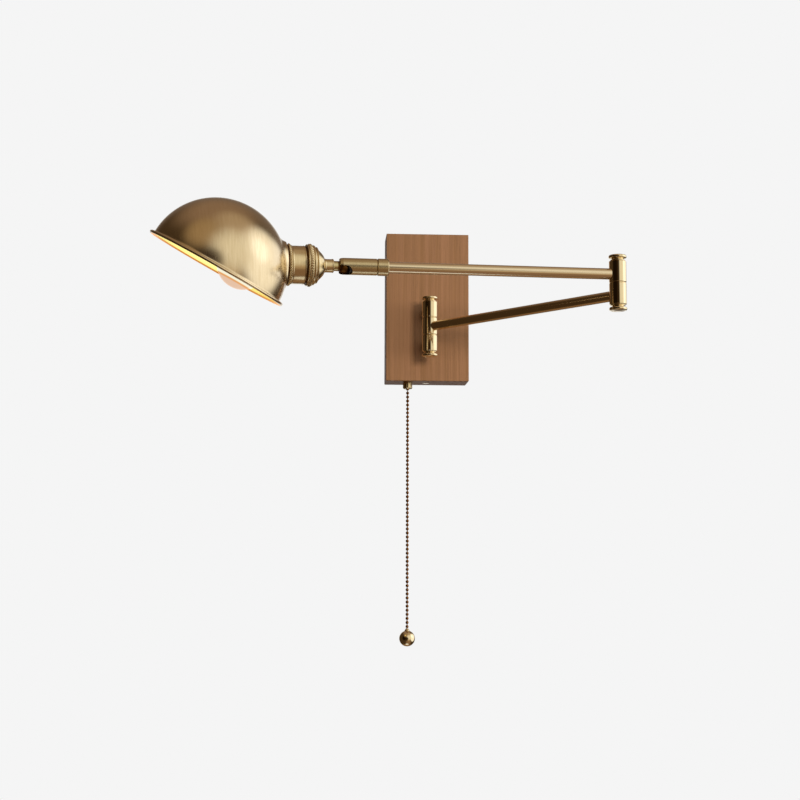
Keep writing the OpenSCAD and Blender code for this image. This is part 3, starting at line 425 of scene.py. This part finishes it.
# Lip of the lit inside: painted light, orange at the edge of the painted glow
LIT_LIP = glowing("lit_brass_lip", "#f0a850", "#cf8430", (30, 62), 0.9, 1.0, 0.35, "#d9bd8c")
# Glass, blown and etched inside: a milky glow, painted paler within the shade with an amber line at the mouth
LIT_GLASS = frosted()
# Filament, glowing: a yellow white thread
GLOW_WIRE = glowing("filament_lit", "#fff0c0", "#ffcf7a", (2, 20), 2.0, 0.0, 0.4, "#ffcf7a")
WALNUT = walnut()
BALL_SHADED = ball_with_painted_shade()

BY_SLOT = {
    "wood": WALNUT, "brushed_brass": TURNED_HEAD, "polished_brass": POLISHED, "zinc_steel": ZINC,
    "black_plastic": BLACK, "porcelain": GLAZED, "flex": SHEATH, "bulb_glass": LIT_GLASS, "filament": GLOW_WIRE,
}
# The inner shade ring takes LIT_BRASS, the painted bulb light of the shade's inside
BY_NODE = {
    "upper_arm_tube": DRAWN_UPPER, "lower_arm_tube": DRAWN_LOWER, "swivel_sleeve": TURNED_SLEEVE,
    "arm_end_collar": TURNED_SLEEVE, "bulb_cap": CAP_METAL, "screw_shell": CAP_METAL, "shade": SPUN,
    "inner_shade_ring": LIT_BRASS, "wall_hinge_washers": POLISHED, "elbow_washer": POLISHED,
    "swivel_ball_stud": BALL_SHADED, "pull_chain": CHAIN, "chain_top_bead": CHAIN, "switch_nut": TURNED_HEAD,
}
for name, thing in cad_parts.items():
    slot_name = thing.data.materials[0].name.split(".")[0]
    for i in range(len(thing.material_slots)):
        thing.material_slots[i].material = BY_NODE.get(name, BY_SLOT[slot_name])

# ---------------------------------------------------------------- shade


def smooth_max(a, b, k):
    """The larger of two lengths, with a rounded step where they are within k of each other."""
    near = np.maximum(k - np.abs(a - b), 0) / k
    return np.maximum(a, b) + near ** 2 * k / 4


COLUMNS = 288
# Reach of the rounded fill between dome and neck, and the degrees past the neck's corner that have its dense rows
NECK_FILL, FILL_TURN = 12.0, 11
# Degrees from the neck's end, seen from the dome's centre, up to which the neck's wall and its end plane count
WALL_LIMIT, END_LIMIT = 80, 60
# The faces end this far above the mouth's plane, where the lip starts
LIP_CUT = 3.0
# The rolled bead's middle and radius, and the lip before and after it, as distance from the mouth's axis and height
BEAD_AT, BEAD_HIGH, BEAD_R, BEAD_ROWS = 62.35, 0.35, 1.3, 16
LIP_OUTSIDE = [[60.0, 2.5], [60.1, 2.1], [60.35, 1.75], [60.8, 1.55], [61.4, 1.5]]
LIP_INSIDE = [[61.0, -0.3], [60.3, -0.2], [59.7, 0.0], [59.2, 0.4], [58.9, 1.0], [58.8, 2.0]]


def dome_wall(wall, rows):
    """One face of the shade, in the holder's place. Each column is a half plane through the holder's axis, where the
    dome is a circle about a centre off that axis, and the neck a short straight wall. From the circle's centre, the
    face lies at the larger of the dome's and the neck's distance, filled where they meet, and no farther than the
    neck's end, from the neck's hole to the plane that lies LIP_CUT above the mouth."""
    turn = np.linspace(0, 2 * np.pi, COLUMNS, endpoint=False)[None]
    centre = DOME_OFF * np.cos(turn)
    circle = np.sqrt((DOME_R - wall) ** 2 - (DOME_OFF * np.sin(turn)) ** 2)
    neck, plane = NECK_R - wall, DOME_AT - NECK_PLANE - wall
    mouth = math.radians(MOUTH_TURN)
    across, along = np.cos(turn) * math.sin(mouth), math.cos(mouth)
    short = (DOME_OFF * np.sin(turn) ** 2 * math.sin(mouth) - LIP_CUT) / circle
    last = np.arctan2(along, across) + np.arcsin(short / np.hypot(across, along))
    first, corner = np.arctan2(HOLE_R - centre, plane), np.arctan2(neck - centre, plane)
    steep = corner + math.radians(FILL_TURN)
    stages = (first, corner, steep, last)
    angle = np.concatenate([
        a + (b - a) * np.linspace(0, 1, count, endpoint=(b is last))[:, None]
        for a, b, count in zip(stages, stages[1:], rows)])
    collar = np.where(angle < math.radians(WALL_LIMIT), (neck - centre) / np.sin(angle), 0)
    end = np.where(angle < math.radians(END_LIMIT), plane / np.cos(angle), 2 * DOME_R)
    reach = np.minimum(smooth_max(circle, collar, NECK_FILL), end)
    out, up = centre + reach * np.sin(angle), DOME_AT - reach * np.cos(angle)
    return np.stack([out * np.cos(turn), out * np.sin(turn), up], -1)


def shade_form():
    """The shade's whole skin as one closed grid: outer face, flared lip with a rolled bead, inner face. The lip's
    outline, in distance from the mouth's axis and height over its plane, is turned about that axis, and its
    direction goes from the outer face's last row to the inner face's."""
    mouth = math.radians(MOUTH_TURN)
    n = np.array([math.sin(mouth), 0, math.cos(mouth)])
    centre = np.array([DOME_OFF, 0, DOME_AT])
    outer = dome_wall(0, (4, 22, 60))
    inner = dome_wall(SHADE_WALL, (4, 16, 44))[::-1]
    a = np.radians(np.linspace(150, -125, BEAD_ROWS))
    bead = np.stack([BEAD_AT + BEAD_R * np.cos(a), BEAD_HIGH + BEAD_R * np.sin(a)], 1)
    lip = np.concatenate([LIP_OUTSIDE, bead, LIP_INSIDE])

    def outward(last):
        d = last - centre
        d = d - (d @ n)[:, None] * n
        return d / np.linalg.norm(d, axis=1)[:, None]

    share = np.linspace(0, 1, len(lip))[:, None, None]
    way = outward(outer[-1])[None] * (1 - share) + outward(inner[0])[None] * share
    rim = centre + way * lip[:, 0][:, None, None] - n * lip[:, 1][:, None, None]
    return np.concatenate([outer, rim, inner]), len(outer) + len(lip)


# The inside's painted glow ends in a painted orange lip, from two faces out on the bead to four faces in
skin, inner_from = shade_form()
lit_from = inner_from - len(LIP_INSIDE) - 1
shade_faces = np.zeros(len(skin), int)
shade_faces[lit_from:] = 1
shade_faces[lit_from - 2:lit_from + 4] = 2
mesh_piece("shade_spun", skin @ head.T + ball, "head", [SPUN, LIT_BRASS, LIT_LIP], ["shade"],
           loop=True, face_material=shade_faces)

# ---------------------------------------------------------------- lamp holder


# A knurled ring: rows across it, the knurl's depth, the crown's drop at the edges and how late it falls, and the
# share of the wave that is pressed deeper. The foot is the step inwards where a groove follows the ring.
KNURL_ROWS, KNURL_DEEP, CROWN_DROP, CROWN_POWER, DEEPER, FOOT_STEP = 30, 0.8, 0.9, 3.2, 0.72, 1.6


def knurled(diameter, low, high, teeth, groove=0):
    """A ring whose crowned edge carries a knurl: the height is the sum of two triangle waves that run round the
    ring and along it in opposite slants, one pressed deeper than the other, faded out at both shoulders."""
    columns = teeth * 10
    a = np.linspace(0, 2 * np.pi, columns, endpoint=False)[None]
    s = np.linspace(0, 1, KNURL_ROWS)[:, None]
    wide = high - low
    crown = diameter / 2 - CROWN_DROP * np.abs(2 * s - 1) ** CROWN_POWER
    step = math.pi * diameter / teeth
    u, v = teeth * a / (2 * np.pi) + s * wide / step, teeth * a / (2 * np.pi) - s * wide / step
    wave = DEEPER * np.abs(2 * (u % 1) - 1) + (1 - DEEPER) * np.abs(2 * (v % 1) - 1)
    fade = np.clip(5 * (1 - np.abs(2 * s - 1)), 0, 1)
    r = crown - KNURL_DEEP * (1 - wave) * fade
    z = np.broadcast_to(low + s * wide, r.shape)
    flat = np.ones((1, columns))
    end = high + groove
    foot = [(diameter / 2 - FOOT_STEP, high), (diameter / 2 - FOOT_STEP, end)] if groove else []
    for radius, height in [*foot, (HOLDER_BORE / 2, end), (HOLDER_BORE / 2, low)]:
        r, z = np.concatenate([r, flat * radius]), np.concatenate([z, flat * height])
    return np.stack([r * np.cos(a), r * np.sin(a), z], -1) @ head.T + ball


rear_ring = knurled(REAR_RING_D, RING_BACK + FACE_GAP, 31.7, teeth=54)
mesh_piece("knurled_ring_rear", rear_ring, "head", [TURNED_HEAD], ["rear_ring"], loop=True, sharp=60)

# Between the front ring's knurl and the shade, the step and the groove's floor are painted brown as shade
front_ring = knurled(FRONT_RING_D, SHELL_FRONT + FACE_GAP, 49.4, teeth=52, groove=1.85)
front_faces = [0] * (KNURL_ROWS - 1) + [1] * 2 + [0] * 3
mesh_piece("knurled_ring_front", front_ring, "head", [TURNED_HEAD, GROOVE_SHADE], ["front_ring"], loop=True,
           sharp=60, face_material=front_faces)

# Shell: a rounded lip, a groove of ten faces painted brown as shade, and the tube with a low bead at its front
shell_outline = soften([
    (15.3, 31.75), (17.4, 31.75), (17.95, 32.1), (17.95, 32.9), (17.4, 33.3), (15.9, 33.5), (15.9, 34.7), (16.6, 34.9),
    (16.8, 35.4), (SHELL_D / 2, 36.0), (SHELL_D / 2, 45.6), (16.85, 46.0), (16.85, 46.8), (16.5, SHELL_FRONT),
    (15.3, SHELL_FRONT)], 0.3)
shell_faces = [0] * 24 + [1] * 10 + [0] * 41
mesh_piece("holder_shell_turned", turned(shell_outline, head, ball, 128), "head",
           [TURNED_HEAD, GROOVE_SHADE], ["holder_shell"], loop=True, face_material=shell_faces)

# Cap: its dome as radii at heights, then a bead, a groove and a wider bead before the rear ring
CAP_HEIGHTS = [17.35, 17.8, 18.7, 20.5, 22.2, 23.4]
CAP_RADII = [7.0, 8.1, 9.5, 11.5, 13.1, 14.0]
cap_at = np.linspace(CAP_HEIGHTS[0], CAP_HEIGHTS[-1], 24)
cap_outline = np.concatenate([
    soften([(4.2, 18.5), (4.2, STEM_TO), (6.5, STEM_TO)], [0.1, 0.1, 0.2], 3),
    np.stack([np.interp(cap_at, CAP_HEIGHTS, CAP_RADII), cap_at], 1),
    soften([(14.3, 23.5), (15.5, 23.7), (15.9, 24.2), (15.6, 25.0), (14.9, 25.3), (14.9, 25.8), (16.8, 26.0),
            (17.3, 26.6), (17.3, 27.7), (16.9, RING_BACK), (15.2, RING_BACK)],
           [0.1, 0.3, 0.3, 0.3, 0.2, 0.2, 0.3, 0.4, 0.4, 0.1, 0.1], 4),
    [(14.0, 26.0), (12.6, 24.0), (10.2, 21.4), (8.0, 19.2)]])
mesh_piece("holder_cap_domed", turned(cap_outline, head, ball, 128), "head", [TURNED_HEAD],
           ["holder_cap"], loop=True)

# Stem collar: a tube with a slightly wider band at each end and a chamfer towards the ball
collar_outline = soften([
    (4.2, 8.8), (5.3, 8.8), (6.05, 9.3), (6.05, 10.1), (5.85, 10.4), (5.85, 15.9), (6.1, 16.3),
    (6.1, STEM_TO), (4.2, STEM_TO)], 0.3)
mesh_piece("stem_collar_turned", turned(collar_outline, head, ball), "head", [TURNED_HEAD],
           ["stem_collar"], loop=True)

# ---------------------------------------------------------------- bulb


def bulb_form():
    """Golf-ball bulb: a neck and a ball about the stud's axis, joined by a concave arc tangent to both, as radius
    and height; the inside follows within it at the wall's thickness."""
    def side(inset, steps):
        r, neck, sweep = BULB_D / 2 - inset, BULB_NECK_D / 2 - inset, BULB_SWEEP + inset
        drop = math.sqrt((r + sweep) ** 2 - (neck + sweep) ** 2)
        turn = math.acos(drop / (r + sweep))
        b = np.linspace(math.pi, math.pi / 2 + turn, steps // 3)
        c = np.linspace(turn - math.pi / 2, math.pi / 2, steps)
        return np.concatenate([
            [[neck, BULB_BACK + inset]],
            np.stack([neck + sweep + sweep * np.cos(b), BULB_CENTRE - drop + sweep * np.sin(b)], 1),
            np.stack([r * np.cos(c), BULB_CENTRE + r * np.sin(c)], 1)])
    outline = np.concatenate([side(0, 48), side(BULB_WALL, 30)[::-1]])
    return turned(outline, head, ball)


mesh_piece("bulb_frosted", bulb_form(), "head", [LIT_GLASS], ["bulb_glass"], loop=True)

# ---------------------------------------------------------------- finial caps


# From a finial's foot to the top of the cap that it replaces
FINIAL_RISE = 5.78


def finial(name, node, body, at, up):
    """A turned finial: a spigot in the pin, a foot, a waisted neck and a thick disc with a rounded edge and a low
    crown. up is 1 where it stands and -1 where it hangs."""
    outline = np.concatenate([
        [(0, -5), (3.95, -5), (3.95, 0)],
        soften([(6.65, 0.0), (6.65, 0.7), (5.3, 1.0), (5.1, 1.7), (6.2, 2.35), (7.6, 2.5), (8.0, 3.1), (8.0, 4.3),
                (7.5, 5.1), (5.6, 5.35)], [0.1, 0.2, 0.5, 0.5, 0.5, 0.5, 0.5, 0.6, 0.6, 0.6])[:-1],
        [(3.0, 5.62), (0, 5.7)]])
    axes = np.diag([1.0, up, up])
    mesh_piece(name, turned(outline, axes, np.asarray(at)), body, [POLISHED], [node])


wall_half = MIDDLE_BARREL / 2 + JOINT_GAP + WALL_BARREL
finial("finial_wall_top", "wall_hinge_cap_top", "wall_base", HINGE + [0, 0, wall_half], 1)
finial("finial_wall_bottom", "wall_hinge_cap_bottom", "wall_base", HINGE - [0, 0, wall_half], -1)
top_face, bottom_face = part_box("elbow_cap_top")[1].z / MM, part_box("elbow_cap_bottom")[0].z / MM
finial("finial_elbow_top", "elbow_cap_top", "lower_arm", [elbow[0], elbow[1], top_face - FINIAL_RISE], 1)
finial("finial_elbow_bottom", "elbow_cap_bottom", "lower_arm", [elbow[0], elbow[1], bottom_face + FINIAL_RISE], -1)

# ---------------------------------------------------------------- floor and light


# Tone of background and floor, and the brightness and tone of the room that metal sees elsewhere
PALE = 0.913
ROOM, ROOM_TONE = 0.13, "#b08d66"
# The backdrop in metal and glass: its direction, and the degrees at which it is full and gone
BACKDROP = ((0, 1, 0.05), 10, 30)
# Soft patches: direction, degrees at which each is full and gone, colour and strength
PATCHES = [
    ((0.1, 0.85, 0.5), 10, 44, "#f2d5c0", 0.2),
    ((0, 0.1, 0.99), 12, 50, "#ffd6b4", 0.27),
    ((0, 0.5, -0.86), 10, 36, "#e6b98c", 0.36),
    ((0.3, -0.5, -0.8), 12, 44, "#e0b48c", 0.34),
    ((-0.7, -0.7, 0.14), 18, 40, "#b98a5a", 0.02),
    ((-0.28, -0.61, 0.74), 8, 34, "#ffd9a6", 0.36),
    ((0.43, -0.25, 0.87), 10, 34, "#ffe3c0", 0.44),
    ((0.41, -0.88, -0.24), 6, 26, "#ffe0b4", 0.5),
    ((0.99, -0.06, 0.16), 30, 48, "#fffdf6", 1.2),
    ((0.8, 0.54, 0.24), 8, 20, "#ffffff", 1.2),
    ((0.47, -0.81, 0.34), 8, 44, "#fff8e6", 0.88),
    ((-0.08, -0.99, 0.02), 9, 25, "#b98a5a", 0.06),
    ((0.92, -0.12, 0.38), 10, 19, "#ffffff", 1.6),
]


def patch(tree, here, way, full, gone):
    """A soft round patch of the sky about a direction, 1 up to full degrees and 0 from gone degrees."""
    return ramp(tree, towards(tree, here, Vector(way).normalized()), math.cos(math.radians(gone)),
                math.cos(math.radians(full)), soft=True)


def studio():
    """World: pale for the camera, and for metal and glass also where they look past the lamp to the backdrop.
    Elsewhere it is a dim room with soft patches, of which the later ones lie over the earlier ones."""
    world = bpy.data.worlds.new("studio")
    bpy.context.scene.world = world
    world.use_nodes = True
    t = world.node_tree
    t.nodes.clear()
    d = add(t, "ShaderNodeTexCoord").outputs["Generated"]
    last = add(t, "ShaderNodeRGB")
    last.outputs[0].default_value = [v * ROOM for v in linear(ROOM_TONE)[:3]] + [1]
    last = last.outputs[0]
    for way, full, gone, colour, strength in PATCHES:
        share = patch(t, d, way, full, gone)
        lit = [v * strength for v in linear(colour)[:3]] + [1]
        last = add(t, "ShaderNodeMixRGB", {"Color2": lit}, {"Color1": last, "Fac": share}).outputs[0]
    from_camera, from_metal = rays(t)
    pale = maths(t, "MAXIMUM", maths(t, "MULTIPLY", from_metal, patch(t, d, *BACKDROP)), from_camera)
    seen = add(t, "ShaderNodeMixRGB", {"Color2": (PALE, PALE, PALE, 1)}, {"Color1": last, "Fac": pale}).outputs[0]
    shader = add(t, "ShaderNodeBackground", {"Strength": 1.0}, {"Color": seen}).outputs[0]
    t.links.new(shader, add(t, "ShaderNodeOutputWorld").inputs["Surface"])


# The middle of the lamp's head and arms, in metres
AIM = Vector((-0.03, -0.12, -0.05))


def light(name, at, size, power, colour):
    """A square soft light in front of the lamp that looks at its middle. Metal doesn't mirror it, as the world's
    patches stand for what metal sees."""
    data = bpy.data.lights.new(name, "AREA")
    data.size = size
    data.energy = power
    data.color = linear(colour)[:3]
    thing = bpy.data.objects.new(name, data)
    thing.location = at
    thing.rotation_euler = (AIM - Vector(at)).to_track_quat("-Z", "Y").to_euler()
    thing.visible_glossy = False
    bpy.context.scene.collection.objects.link(thing)


light("key", (0.46, -1.7, 0.12), 0.35, 17, "#fff4e6")
light("fill", (-0.9, -1.6, 0.2), 1.4, 4, "#fff8f0")

# The floor's radius, columns and height in metres, the shares of its radius between which it takes the background's
# tone, and how much of that tone its middle has
FLOOR_R, FLOOR_COLUMNS, FLOOR_Z = 0.42, 96, -1.9
FLOOR_FADE, FLOOR_SHARE = (0.4, 0.95), 0.75


def floor():
    """A plain pale floor far below the lamp, which keeps its shadow. Towards its edge it takes the background's tone,
    so that no edge shows."""
    mesh = bpy.data.meshes.new("floor")
    a = np.linspace(0, 2 * np.pi, FLOOR_COLUMNS, endpoint=False)
    ring = np.stack([FLOOR_R * np.cos(a), FLOOR_R * np.sin(a), np.full_like(a, FLOOR_Z)], 1)
    mesh.from_pydata(ring.tolist(), [], [list(range(FLOOR_COLUMNS))])
    thing = bpy.data.objects.new("floor", mesh)
    bpy.context.scene.collection.objects.link(thing)
    m, t, out = new_material("pale_floor")
    here = add(t, "ShaderNodeTexCoord").outputs["Object"]
    plain = ramp(t, distance(t, here, (0, 0, FLOOR_Z / MM)), FLOOR_FADE[0] * FLOOR_R, FLOOR_FADE[1] * FLOOR_R,
                 FLOOR_SHARE, soft=True)
    matte = add(t, "ShaderNodeBsdfDiffuse", {"Color": (0.8, 0.8, 0.8, 1)}).outputs[0]
    bright = add(t, "ShaderNodeEmission", {"Color": (PALE, PALE, PALE, 1)}).outputs[0]
    share = maths(t, "MULTIPLY", maths(t, "MAXIMUM", *rays(t)), plain)
    t.links.new(add(t, "ShaderNodeMixShader", links={0: share, 1: matte, 2: bright}).outputs[0], out.inputs["Surface"])
    mesh.materials.append(m)


studio()
floor()
